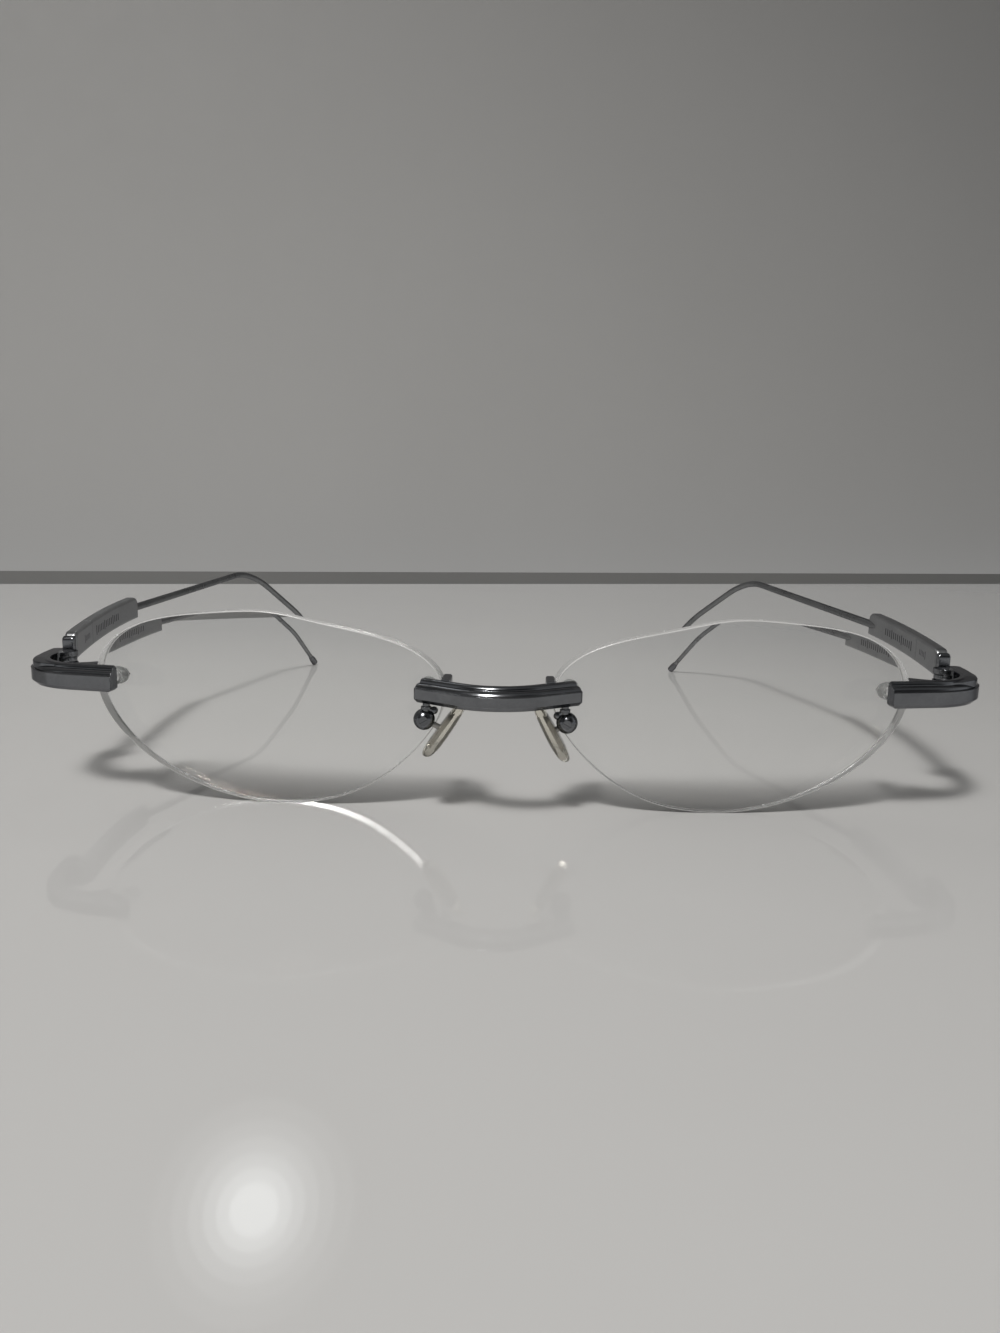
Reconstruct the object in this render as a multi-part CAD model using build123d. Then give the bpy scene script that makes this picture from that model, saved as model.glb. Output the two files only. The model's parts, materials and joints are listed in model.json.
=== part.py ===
from build123d import *
import os
from math import sin, cos, tan, radians, degrees, sqrt, atan2, hypot

# Rimless eyeglasses, standing open on the lens bottoms and the temple tips.
# Millimetres, +Z up, front of the glasses towards -Y. Seen from the front, +X
# is on the right, and pieces named right are on that side.
# The pieces are built with Y = 0 close to the plane of the lenses and then
# moved so that the origin is the centre of the bottom of the whole box.

# ---------------------------------------------------------------- lenses
LENS_X = 33.0            # half distance between the two lens centres
LENS_Z = 13.77           # height of the lens centre
LENS_SCALE = 1.006       # outline table below to real size (50.0 x 27.4)
OPT_X = 31.0             # optical centre, a little nasal of the lens centre
OPT_Z = 13.2
R_FRONT = 191.0          # front sphere
R_BACK = 78.75           # back sphere (minus lens, about -3.7 D in common plastic)
T_CENTRE = 1.2           # centre thickness
LENS_Y0 = -1.8           # front vertex
WRAP = 2.86              # degrees, outer edge further back
# outline, (outwards, up) from the lens centre, every 10 degrees
OUTLINE = [(23.98, 0), (24.72, 4.36), (22.85, 8.32), (18.96, 10.95), (14.64, 12.28),
           (10.81, 12.89), (7.63, 13.21), (4.89, 13.44), (2.39, 13.58), (0, 13.57),
           (-2.35, 13.34), (-4.7, 12.92), (-7.16, 12.39), (-9.91, 11.81), (-13.26, 11.12),
           (-17.41, 10.05), (-21.93, 7.98), (-24.98, 4.41), (-24.89, 0), (-22.59, -3.98),
           (-19.65, -7.15), (-16.62, -9.59), (-13.56, -11.38), (-10.54, -12.56), (-7.64, -13.24),
           (-4.94, -13.58), (-2.41, -13.69), (0, -13.63), (2.36, -13.39), (4.72, -12.96),
           (7.12, -12.33), (9.64, -11.49), (12.35, -10.36), (15.3, -8.83), (18.44, -6.71),
           (21.53, -3.8)]

# ------------------------------------------------------- bar (both kinds)
BAR_Z0 = 15.6            # underside
BAR_H = 3.1              # height
BAR_D = 2.6              # depth
BAR_BEVEL = 0.6          # bevel along the lower front edge
FACE_END = 1.7           # height of the flat front face on the end pieces
FACE_BRIDGE = 1.35       # and on the bridge

# bridge: front edge in plan
BR_X, BR_Y = 11.6, -4.2
BR_APEX_Y = -11.9
BR_R = 11.0
BR_HOLE_X = 10.0         # lens hole

# end piece: front edge in plan
EP_A = (54.0, -2.2)
EP_B = (68.95, 0.65)
EP_C = (72.3, 15.9)
EP_R = 12.0
END_H = 3.5              # the end pieces are a little taller than the bridge
EP_HOLE_X = 55.9

# ------------------------------------------------ lens fastening hardware
HOLE_Z = 17.05
STUD_R = 0.60
SLEEVE_R = 0.85
WASHER_R = 1.30
WASHER_T = 0.55
NUT_R = 1.00             # across corners / 2
NUT_T = 0.85
STUD_OUT = 0.30          # stud end past the nut

# ---------------------------------------------------------------- hinges
PIV_X, PIV_Y = 68.2, 13.0
SLOT_Z0, SLOT_Z1 = 17.35, 18.35
TONGUE_GAP = 0.08
EAR_Z0, EAR_Z1 = 16.10, BAR_Z0 + END_H
EAR_R = 1.75
HOOK_ROUND = 2.3         # rear outer corner of the hook in plan
HOOK_START = -77.0       # where the raised top begins on the bend, degrees
HOOK_FULL = -34.0        # where it has widened to the outer face
HOOK_OUT0 = 0.45         # its width at the start, from the back of the bar
HOOK_IN = 0.30           # raised top of the hook, in from the outer face
HOOK_EDGE = 0.35         # its rounded edge
FOOT_Z1 = 18.98          # top of the foot against the lens
TONGUE_R = 1.60
SCREW_R = 0.60
SCREW_GAP = 0.04
HEAD_R = 1.00
HEAD_T = 0.35

# --------------------------------------------------------------- temples
KN_X0, KN_X1 = 68.45, 70.35
KN_Y0, KN_Y1 = 16.05, 17.0
KN_Z0, KN_Z1 = 16.95, 20.95
GROOVE = 0.25
TANG_X, TANG_T, TANG_LEN = 69.65, 0.8, 2.3     # tang of the knuckle inside the block
BLOCK_T = 2.0
BLOCK_H = 4.3
BLOCK_ROUND = 0.50       # round of the long and end edges
BLOCK_SLOPE = 4.07       # degrees, rising to the rear
BLOCK_ZF = 19.3          # centre height at the front end
WIRE_R = 0.72
WIRE_RADII = (25.0, 40.0)    # ear bend, gentle curve of the drop end
# route: inside the block, ear bend, drop end, tip
WIRES = {"right": [(72.2, 46.0, 21.25), (61.8, 109.5, 26.2), (52.0, 128.5, 13.8), (44.7, 140.3, 1.35)],
         "left": [(75.6, 48.0, 21.4), (68.6, 109.5, 26.2), (60.4, 128.0, 12.9), (56.1, 140.3, 1.35)]}
# inner face of each block in plan, front to rear
BLOCKS = {"right": [(68.5, 17.25), (70.3, 31.0), (71.0, 41.0), (71.05, 51.6)],
          "left": [(68.5, 17.25), (71.4, 30.0), (73.5, 43.0), (74.25, 53.8)]}
SEAM_Y = 27.5
TIP_R = 1.10
TIP_L = 2.0              # straight barrel of the tip
TIP_ROUND = 0.45

# -------------------------------------------------------------- nose pads
PAD_L, PAD_W, PAD_T = 9.8, 5.4, 1.6
PADS = {"right": dict(ball=(9.5, -3.6, 13.1), tip=(9.9, 7.45), lean=29.0, knob=(8.2, 14.1)),
        "left": dict(ball=(10.1, -3.6, 13.2), tip=(10.3, 7.8), lean=35.0, knob=(8.75, 14.5))}
PAD_SPLAY = 0.0
PAD_BACK = 0.9           # pad centre behind the middle of the box
BALL_R = 1.5
PAD_PIN_R = 0.35
ARM_R = 0.5

parts = {}


def prism(points, z0, z1):
    """closed polygon in plan, extruded between two heights"""
    f = make_face(Polyline(*[(x, y, z0) for x, y in points], close=True))
    return extrude(f, amount=z1 - z0, dir=(0, 0, 1))


def cyl_y(x, z, r, y0, y1):
    """cylinder along Y"""
    return Pos(x, (y0 + y1) / 2, z) * Rot(90, 0, 0) * Cylinder(r, y1 - y0)


def cyl_z(x, y, r, z0, z1):
    return Pos(x, y, (z0 + z1) / 2) * Cylinder(r, z1 - z0)


def cyl_between(a, b, r):
    a, b = Vector(*a), Vector(*b)
    d = b - a
    return Plane(origin=a, z_dir=d) * (Pos(0, 0, d.length / 2) * Cylinder(r, d.length))


def flip(s):
    return mirror(s, about=Plane.YZ)


def one(s):
    """largest solid of a shape"""
    return max(s.solids(), key=lambda q: q.volume)


# ================================================================= lenses
pts = [(LENS_X + LENS_SCALE * x, -8.0, LENS_Z + LENS_SCALE * z) for x, z in OUTLINE]
rim = make_face(Spline(*pts, periodic=True))
blank = extrude(rim, amount=24, dir=(0, 1, 0))
dx, dz = OPT_X, OPT_Z
front_ball = Pos(dx, LENS_Y0 + R_FRONT, dz) * Sphere(R_FRONT)
back_ball = Pos(dx, LENS_Y0 + T_CENTRE + R_BACK, dz) * Sphere(R_BACK)
lens_solid = one((blank & front_ball) - back_ball)
turn = Pos(LENS_X, 0, 0) * Rot(0, 0, WRAP) * Pos(-LENS_X, 0, 0)
lens_solid = turn * lens_solid
HOLES = [BR_HOLE_X, EP_HOLE_X]
lens = lens_solid
for hx in HOLES:
    lens = lens - cyl_y(hx, HOLE_Z, SLEEVE_R, -8, 12)
lens = one(lens)

# ================================================== stepped bar section
def bar_section(face_h, height):
    """(out, up) outline of the bar: flat back, two rounded ridges on the upper
    front, a thin step, the flat front face and the lower bevel"""
    z0, z1 = 0.0, height
    fz0 = z0 + BAR_BEVEL
    fz1 = fz0 + face_h
    d = BAR_D
    rise = z1 - fz1
    b0 = (0.0, z1)
    t1 = (0.35, z1)
    r1m = (1.02, z1 - 0.20 * rise)
    g = (1.12, z1 - 0.46 * rise)
    r2m = (1.92, z1 - 0.62 * rise)
    s = (2.18, z1 - 0.90 * rise)
    with BuildSketch() as sk:
        with BuildLine():
            Line((0, z0), (d - BAR_BEVEL, z0))
            Line((d - BAR_BEVEL, z0), (d, fz0))
            Line((d, fz0), (d, fz1))
            Line((d, fz1), s)
            ThreePointArc(s, r2m, g)
            ThreePointArc(g, r1m, t1)
            Line(t1, b0)
            Line(b0, (0, z0))
        make_face()
    return sk.sketch


def bar_sweep(path, face_h, height):
    """section placed at the start of the path, its outer face on the path"""
    d = path % 0
    out = Vector(-d.Y, d.X, 0)
    pl = Plane(origin=(path @ 0) - out * BAR_D + Vector(0, 0, BAR_Z0), x_dir=out, z_dir=d)
    return one(sweep(pl * bar_section(face_h, height), path=path))


# ================================================================= bridge
br_path = FilletPolyline((BR_X, BR_Y, 0), (0, BR_APEX_Y, 0), (-BR_X, BR_Y, 0), radius=BR_R)
bridge = bar_sweep(br_path, FACE_BRIDGE, BAR_H)
# ends: the corners taken off in plan and in elevation
for s in (1, -1):
    bridge = bridge - prism([(s * 10.6, -6.2), (s * 13.5, -6.2), (s * 13.5, -1.0), (s * 11.75, -2.2), (s * 11.75, -3.6), (s * 11.1, -4.75)], 10, 25)
    for zc, up in ((BAR_Z0, -1), (BAR_Z0 + BAR_H, 1)):
        cut = make_face(Polyline((s * 11.05, -9, zc), (s * 12.5, -9, zc), (s * 12.5, -9, zc - up * 0.7), (s * 11.65, -9, zc - up * 0.7), close=True))
        bridge = bridge - extrude(cut, amount=9, dir=(0, 1, 0))
bridge = one(bridge)
bridge_add = []
for s in (1, -1):
    # seat around each stud, down to the lens
    bridge_add.append(cyl_y(s * BR_HOLE_X, HOLE_Z, 1.1, -3.6, 0))
    # foot that bears on the nasal edge of the lens, rounded on top
    foot = prism([(s * 6.45, -4.80), (s * 7.85, -3.87), (s * 7.85, 0.3), (s * 6.55, 0.3)], 16.6, 18.9)
    foot = fillet(foot.edges().filter_by(Axis.Z, reverse=True).sort_by(Axis.Z)[-4:].filter_by(lambda e: e.length > 4), 0.35)
    bridge_add.append(foot)
for b in bridge_add:
    bridge = bridge + b
lens_l_solid = flip(lens_solid)
bridge = bridge - lens_solid - lens_l_solid
for s in (1, -1):
    bridge = bridge - cyl_y(s * BR_HOLE_X, HOLE_Z, STUD_R, -3.9, 5)
bridge = one(bridge)

# ============================================================== end piece
ep_path = FilletPolyline((EP_C[0], EP_C[1], 0), (EP_B[0], EP_B[1], 0), (EP_A[0], EP_A[1], 0), radius=EP_R)
endp = bar_sweep(ep_path, FACE_END, END_H)
# inner end: bevelled in plan, corners off
endp = endp - prism([(50.0, -6.0), (54.1, -6.0), (54.6, 3.0), (50.0, 3.0)], 10, 25)
for zc, up in ((BAR_Z0, -1), (BAR_Z0 + END_H, 1)):
    cut = make_face(Polyline((53, -6, zc), (54.85, -6, zc), (54.15, -6, zc - up * 0.6), (53, -6, zc - up * 0.6), close=True))
    endp = endp - extrude(cut, amount=9, dir=(0, 1, 0))
endp = endp - Pos(70, 15.9 + 3, 17) * Box(12, 6, 8)
endp = one(endp)
# seat round the stud
endp = endp + cyl_y(EP_HOLE_X, HOLE_Z, 1.1, -0.6, 2.0)
# centre of the bend, and of the rounded rear corner
u1 = Vector(EP_B[0] - EP_A[0], EP_B[1] - EP_A[1], 0).normalized()
u2 = Vector(EP_C[0] - EP_B[0], EP_C[1] - EP_B[1], 0).normalized()
reach = EP_R * sqrt((1 - u1.dot(u2)) / (1 + u1.dot(u2)))
EP_CENTRE = (EP_B[0] - u1.X * reach - u1.Y * EP_R, EP_B[1] - u1.Y * reach + u1.X * EP_R)
EP_ALONG, EP_NORMAL = (u2.X, u2.Y), (u2.Y, -u2.X)
HOOK_CORNER = (EP_C[0] - EP_NORMAL[0] * HOOK_ROUND - EP_ALONG[0] * 2.9, EP_C[1] - EP_NORMAL[1] * HOOK_ROUND - EP_ALONG[1] * 2.9)
# rear outer corner of the hook, rounded in plan
arc = [(HOOK_CORNER[0] + HOOK_ROUND * cos(radians(a)), HOOK_CORNER[1] + HOOK_ROUND * sin(radians(a))) for a in range(90, -21, -10)]
endp = one(endp - prism([(HOOK_CORNER[0], 17.5)] + arc + [(76.0, 12.0), (76.0, 17.5)], 10, 25))
# pointed foot against the outer edge of the lens
endp = endp + prism([(65.2, 3.6), (63.4, 3.0), (61.6, 3.05), (60.2, 3.65), (59.1, 4.5), (58.5, 4.4), (58.45, 1.1), (62.0, 1.75), (64.6, 3.2)], 16.2, FOOT_Z1)
# hinge ears
ears = cyl_z(PIV_X, PIV_Y, EAR_R, EAR_Z0, EAR_Z1)
ears = ears + prism([(PIV_X, PIV_Y - EAR_R), (69.7, 9.4), (70.6, 10.6), (71.5, 15.4), (71.1, 15.9), (69.4, 15.9), (69.1, 14.6), (PIV_X, PIV_Y + EAR_R)], EAR_Z0, EAR_Z1)
endp = endp + ears
# raised, rounded top of the hook, level with the ears
ro, ri, rc = EP_R - HOOK_IN, EP_R - BAR_D + 0.1, HOOK_ROUND - HOOK_IN
side_deg = degrees(atan2(EP_NORMAL[1], EP_NORMAL[0]))
r0 = EP_R - BAR_D + HOOK_OUT0
widen = []
for i in range(9):
    t = i / 8
    a, r = radians(HOOK_START + (HOOK_FULL - HOOK_START) * t), r0 + (ro - r0) * t * t * (3 - 2 * t)
    widen.append(Vector(EP_CENTRE[0] + r * cos(a), EP_CENTRE[1] + r * sin(a), 0))
with BuildSketch(Plane.XY.offset(17.9)) as top:
    with BuildLine():
        a_wide = Spline(*widen, tangents=(widen[1] - widen[0], Vector(-sin(radians(HOOK_FULL)), cos(radians(HOOK_FULL)), 0)))
        a_out = CenterArc(EP_CENTRE, ro, HOOK_FULL, side_deg - HOOK_FULL)
        a_rear = CenterArc(HOOK_CORNER, rc, side_deg, 92.0 - side_deg)
        Line(a_out @ 1, a_rear @ 0)
        a_in = CenterArc(EP_CENTRE, ri, HOOK_START + 2, side_deg - HOOK_START - 2)
        Polyline(a_rear @ 1, (PIV_X + 0.6, PIV_Y + 1.0, 0), a_in @ 1)
        Line(a_in @ 0, a_wide @ 0)
    make_face()
cap = extrude(top.sketch, amount=EAR_Z1 - 17.9, dir=(0, 0, 1))
rim = [e for e in cap.edges() if e.center().Z > EAR_Z1 - 0.01 and (
    abs(e.length - a_out.length) < 0.01 or abs(e.length - a_rear.length) < 0.01 or abs(e.length - a_wide.length) < 0.01
    or (e.geom_type == GeomType.LINE and e.center().Y > 8.5 and abs((e @ 0 - e @ 1).normalized().dot(Vector(EP_ALONG[0], EP_ALONG[1], 0))) > 0.999))]
cap = fillet(rim, HOOK_EDGE)
slope = make_face(Polyline((60, 0.6, EAR_Z1 - 0.25), (60, 6.4, EAR_Z1), (60, 6.4, 21), (60, 0.6, 21), close=True))
cap = one(cap - extrude(slope, amount=20, dir=(1, 0, 0)))
endp = endp + cap
endp = endp - prism([(63, 11.1), (68.2, 11.1), (70.3, 11.6), (70.5, 18), (63, 18)], SLOT_Z0, SLOT_Z1)
endp = endp - cyl_z(PIV_X, PIV_Y, SCREW_R, 10, 30)
endp = endp - cyl_z(PIV_X, PIV_Y, HEAD_R, EAR_Z1 - HEAD_T, 30)
endp = endp - lens_solid
endp = one(endp - cyl_y(EP_HOLE_X, HOLE_Z, STUD_R, -1.2, 6))

# ========================================================= lens hardware
def lens_back_y(x, z):
    """back surface of the right lens on a line along Y"""
    hit = lens_solid & Pos(x, 2, z) * Box(0.02, 30, 0.02)
    return hit.bounding_box().max.Y


hw = {"sleeve": [], "washer": [], "nut": [], "bstud": [], "estud": []}
for hx in HOLES:
    yb = lens_back_y(hx, HOLE_Z)
    sleeve = (cyl_y(hx, HOLE_Z, SLEEVE_R, -8, 12) - cyl_y(hx, HOLE_Z, STUD_R, -8, 12)) & lens_solid
    hw["sleeve"].append(one(sleeve))
    yw = yb + WASHER_T + 0.35
    washer = cyl_y(hx, HOLE_Z, WASHER_R, yb - 1.2, yw) - cyl_y(hx, HOLE_Z, STUD_R, -8, 12) - lens_solid
    washer = one(Solid(max(washer.solids(), key=lambda q: q.bounding_box().max.Y).wrapped))
    hw["washer"].append(washer)
    nut = Pos(hx, yw + NUT_T / 2, HOLE_Z) * Rot(90, 0, 0) * extrude(RegularPolygon(NUT_R, 6), amount=NUT_T / 2, both=True)
    nut = one(nut - cyl_y(hx, HOLE_Z, STUD_R, -8, 20))
    hw["nut"].append(nut)
    y0 = -3.9 if hx == BR_HOLE_X else -1.2
    stud = cyl_y(hx, HOLE_Z, STUD_R, y0, yw + NUT_T + STUD_OUT)
    hw["bstud" if hx == BR_HOLE_X else "estud"].append(one(stud))

# ========================================================== hinge pieces
screw = cyl_z(PIV_X, PIV_Y, SCREW_R, EAR_Z0 - 0.15, EAR_Z1 - HEAD_T) + cyl_z(PIV_X, PIV_Y, HEAD_R, EAR_Z1 - HEAD_T, EAR_Z1)
screw = one(screw - Pos(PIV_X, PIV_Y, EAR_Z1) * Rot(0, 0, 35) * Box(2.4, 0.25, 0.3))

tz0, tz1 = SLOT_Z0 + TONGUE_GAP, SLOT_Z1 - TONGUE_GAP
tongue = cyl_z(PIV_X, PIV_Y, TONGUE_R, tz0, tz1)
tongue = tongue + prism([(PIV_X - 1.45, PIV_Y + 0.4), (PIV_X + 1.5, PIV_Y + 0.3), (70.05, KN_Y0 - 1.2), (70.05, KN_Y0), (68.6, KN_Y0)], tz0, tz1)
kn = Box(KN_X1 - KN_X0, KN_Y1 - KN_Y0, KN_Z1 - KN_Z0)
kn = Pos((KN_X0 + KN_X1) / 2, (KN_Y0 + KN_Y1) / 2, (KN_Z0 + KN_Z1) / 2) * kn
kn = fillet(kn.edges().filter_by(Axis.X).sort_by(Axis.Y)[:2].sort_by(Axis.Z)[-1:], 0.75)
kn = fillet(kn.faces().sort_by(Axis.X)[0].edges() + kn.faces().sort_by(Axis.X)[-1].edges(), 0.22)
tang_y1 = KN_Y1 + GROOVE + TANG_LEN
tang_z = (KN_Z0 + KN_Z1) / 2 + 0.15
tang = Pos(TANG_X, (KN_Y1 - 0.3 + tang_y1) / 2, tang_z) * Box(TANG_T, tang_y1 - KN_Y1 + 0.3, 2.2)
knuckle = kn + tang + tongue + prism([(68.8, KN_Y0 - 0.02), (70.0, KN_Y0 - 0.02), (70.0, KN_Y0 + 0.4), (68.8, KN_Y0 + 0.4)], tz0, tz1)
knuckle = one(knuckle - cyl_z(PIV_X, PIV_Y, SCREW_R + SCREW_GAP, 10, 30))

# ========================================================= temple blocks
by0 = KN_Y1 + GROOVE
sl = tan(radians(BLOCK_SLOPE))


def bz(y):
    """height of the block's centre line"""
    return BLOCK_ZF + (y - by0) * sl


def block_for(side_name):
    plan_in = BLOCKS[side_name]
    y1 = plan_in[-1][1]
    hh = BLOCK_H / 2
    inner = Spline(*[(x, y, 10) for x, y in plan_in])
    outer = Spline(*[(x + BLOCK_T, y, 10) for x, y in plan_in])
    plan = make_face([inner, outer, Line(inner @ 0, outer @ 0), Line(inner @ 1, outer @ 1)])
    plan = extrude(plan, amount=20, dir=(0, 0, 1))
    with BuildSketch(Plane.YZ) as side:
        with BuildLine():
            Polyline((by0, bz(by0) + hh), (y1, bz(y1) + hh), (y1, bz(y1) - hh), (by0, bz(by0) - hh), close=True)
        make_face()
        fillet(side.vertices().sort_by(Axis.Y)[-2:], 1.35)
    b = one(plan & extrude(side.sketch, amount=90, dir=(1, 0, 0)))
    sides = b.faces().sort_by(SortBy.AREA)[-2:]
    b = fillet([e for f in sides for e in f.edges()], BLOCK_ROUND)
    b = b - Pos(TANG_X, (by0 - 1 + tang_y1) / 2, tang_z) * Box(TANG_T, tang_y1 - by0 + 1, 2.2)
    # fine seam round the block
    yy = SEAM_Y
    k = [i for i in range(3) if plan_in[i][1] <= yy][-1]
    (xa, ya), (xb, yb) = plan_in[k], plan_in[k + 1]
    xc = xa + (xb - xa) * (yy - ya) / (yb - ya) + BLOCK_T / 2 + 0.08
    seam = Pos(xc, yy, bz(yy)) * (Box(6, 0.16, 8) - Box(BLOCK_T - 0.26, 1, BLOCK_H - 0.24))
    return one(b - seam)


block_right0, block_left0 = block_for("right"), block_for("left")

# ================================================================= wires
def tip_blank(end, dd):
    """metal tip: cone up from the wire to a short round barrel, rounded end"""
    with BuildSketch(Plane.XZ) as ts:
        with BuildLine():
            Line((0, -3.6), (WIRE_R + 0.10, -3.6))
            Line((WIRE_R + 0.10, -3.6), (WIRE_R + 0.14, -3.2))
            Line((WIRE_R + 0.14, -3.2), (TIP_R, -TIP_L))
            Line((TIP_R, -TIP_L), (TIP_R, 0))
            RadiusArc((TIP_R, 0), (TIP_R - TIP_ROUND, TIP_ROUND), -TIP_ROUND)
            Line((TIP_R - TIP_ROUND, TIP_ROUND), (0, TIP_ROUND))
            Line((0, TIP_ROUND), (0, -3.6))
        make_face()
    return Plane(origin=end, z_dir=dd) * revolve(ts.sketch, axis=Axis.Z)


def wire_for(side_name):
    route = [list(q) for q in WIRES[side_name]]
    # the end is lowered or raised until the tip just reaches the surface
    for step in range(4):
        path = FilletPolyline(*[tuple(q) for q in route], radius=WIRE_RADII)
        tip = tip_blank(path @ 1, path % 1)
        route[-1][2] -= tip.bounding_box().min.Z
    path = FilletPolyline(*[tuple(q) for q in route], radius=WIRE_RADII)
    end, dd = path @ 1, path % 1
    sec = Plane(origin=path @ 0, z_dir=path % 0) * Circle(WIRE_R)
    w = one(sweep(sec, path=path))
    tip = one(tip_blank(end, dd) - w)
    return w, tip, end, dd

# ============================================================== nose pads
def pad_set(side_name):
    q = PADS[side_name]
    a = radians(q["lean"])
    s = radians(PAD_SPLAY)
    L = Vector(sin(a), 0, -cos(a))                       # down along the pad
    N0 = Vector(cos(a), 0, sin(a))                       # towards the lens
    N = N0 * cos(s) + Vector(0, -1, 0) * sin(s)
    ball = Vector(*q["ball"])
    tip = Vector(q["tip"][0], 0, q["tip"][1])
    pc = tip - L * (PAD_L / 2)
    t = (ball - pc).dot(N0) / cos(s)
    pc = Vector(pc.X, ball.Y + t * sin(s) + PAD_BACK, pc.Z)
    frame = Plane(origin=pc, x_dir=L, z_dir=N)           # x along, y across, z out
    # silicone body: long oval, narrower at the top
    ring = []
    for k in range(24):
        th = radians(15 * k)
        u = cos(th)
        w = PAD_W / 2 * (1.0 + 0.14 * u)
        ring.append((PAD_L / 2 * u, w * sin(th), -PAD_T / 2))
    body = extrude(make_face(Spline(*ring, periodic=True)), amount=PAD_T, dir=(0, 0, 1))
    body = fillet(body.edges().filter_by(lambda e: e.length > 10), 0.62)
    body = frame * body
    # metal core: plate in the silicone, post and eye in the box
    plate = frame * (Pos(0.3, 0, 0.15) * (extrude(SlotOverall(5.6, 2.4), amount=0.25, both=True)))
    post_a = Vector(pc.X, ball.Y, pc.Z) + N * 0.1
    toward = (ball - post_a).normalized()
    post = cyl_between(post_a, ball - toward * 0.55, 0.40)
    eye = Pos(*ball) * Rot(90, 0, 0) * Cylinder(0.80, 0.80)
    core = plate + post
    core = core + eye
    pin_hole = Pos(*ball) * Rot(90, 0, 0) * Cylinder(PAD_PIN_R + 0.04, 6)
    core = one(core - pin_hole)
    body = one(body - plate - cyl_between(post_a, ball, 0.40))
    # box: a ball with a flattened face, a slot for the eye
    box = Pos(*ball) * Sphere(BALL_R)
    box = box - Pos(ball.X, ball.Y + BALL_R + 0.75, ball.Z) * Box(6, 2, 6)
    slot_dir = atan2((pc - ball).Z, (pc - ball).X)
    slot = Pos(*ball) * Rot(0, -slot_dir * 57.29578, 0) * (Pos(1.7, 0, 0) * Box(5.3, 0.96, 2.9))
    box = box - slot
    box = box - Pos(*ball) * Rot(90, 0, 0) * Cylinder(PAD_PIN_R, 6)
    box = one(box - cyl_y(ball.X, ball.Z, 0.62, ball.Y - 3, ball.Y - 1.22))
    pin = cyl_y(ball.X, ball.Z, PAD_PIN_R, ball.Y - 1.22, ball.Y + 0.74)
    head = cyl_y(ball.X, ball.Z, 0.62, ball.Y - 1.36, ball.Y - 1.22)
    pin = one(pin + head - Pos(ball.X, ball.Y - 1.36, ball.Z) * Rot(0, 30, 0) * Box(1.4, 0.16, 0.18))
    # arm: post from the underside of the bar with a small collar
    top = Vector(ball.X - 0.35, -4.15, BAR_Z0 + 0.8)
    knee = Vector(ball.X - 0.3, -4.0, 14.85)
    arm = cyl_between((top.X, top.Y, top.Z), (knee.X, knee.Y, knee.Z), ARM_R) + Pos(*knee) * Sphere(ARM_R)
    arm = arm + cyl_between((knee.X, knee.Y, knee.Z), (ball.X, ball.Y, ball.Z), ARM_R)
    arm = arm + cyl_z(knee.X, knee.Y - 0.02, 0.72, 14.75, 15.1)
    # small knob on the nasal side of the neck
    kn = (q["knob"][0], ball.Y - 0.1, q["knob"][1])
    arm = arm + Pos(*kn) * Sphere(0.55) + cyl_between(kn, (knee.X, knee.Y, knee.Z), 0.36)
    arm = one(arm - Pos(*ball) * Sphere(BALL_R))
    return dict(pad=body, core=core, box=box, pin=pin, arm=arm, pc=pc, ball=ball)


PR, PL = pad_set("right"), pad_set("left")
for k in ("pad", "core", "box", "pin", "arm"):
    PL[k] = flip(PL[k])
bridge = one(bridge - PR["arm"] - PL["arm"])

wr, tr, end_r, dir_r = wire_for("right")
wl, tl, end_l, dir_l = wire_for("left")
block_r = one(block_right0 - wr)
block_l0 = one(block_left0 - wl)
wl, tl, block_l = flip(wl), flip(tl), flip(block_l0)


def group(*solids):
    return Compound(children=[Solid(one(s).wrapped) for s in solids])


parts["bridge_bar"] = bridge
parts["lens_right"] = lens
parts["lens_left"] = flip(lens)
parts["end_piece_right"] = endp
parts["end_piece_left"] = flip(endp)
parts["bridge_studs"] = group(hw["bstud"][0], flip(hw["bstud"][0]))
parts["end_piece_studs"] = group(hw["estud"][0], flip(hw["estud"][0]))
parts["lens_sleeves"] = group(*hw["sleeve"], *[flip(s) for s in hw["sleeve"]])
parts["lens_washers"] = group(*hw["washer"], *[flip(s) for s in hw["washer"]])
parts["lens_nuts"] = group(*hw["nut"], *[flip(s) for s in hw["nut"]])
parts["hinge_screws"] = group(screw, flip(screw))
parts["hinge_knuckle_right"] = knuckle
parts["hinge_knuckle_left"] = flip(knuckle)
parts["temple_block_right"] = block_r
parts["temple_block_left"] = block_l
parts["temple_wire_right"] = wr
parts["temple_wire_left"] = wl
parts["temple_tip_right"] = tr
parts["temple_tip_left"] = tl
for nm, P in (("right", PR), ("left", PL)):
    parts["nose_pad_" + nm] = P["pad"]
    parts["pad_core_" + nm] = P["core"]
    parts["pad_box_" + nm] = P["box"]
    parts["pad_arm_" + nm] = P["arm"]
parts["pad_screws"] = group(PR["pin"], PL["pin"])

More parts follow.
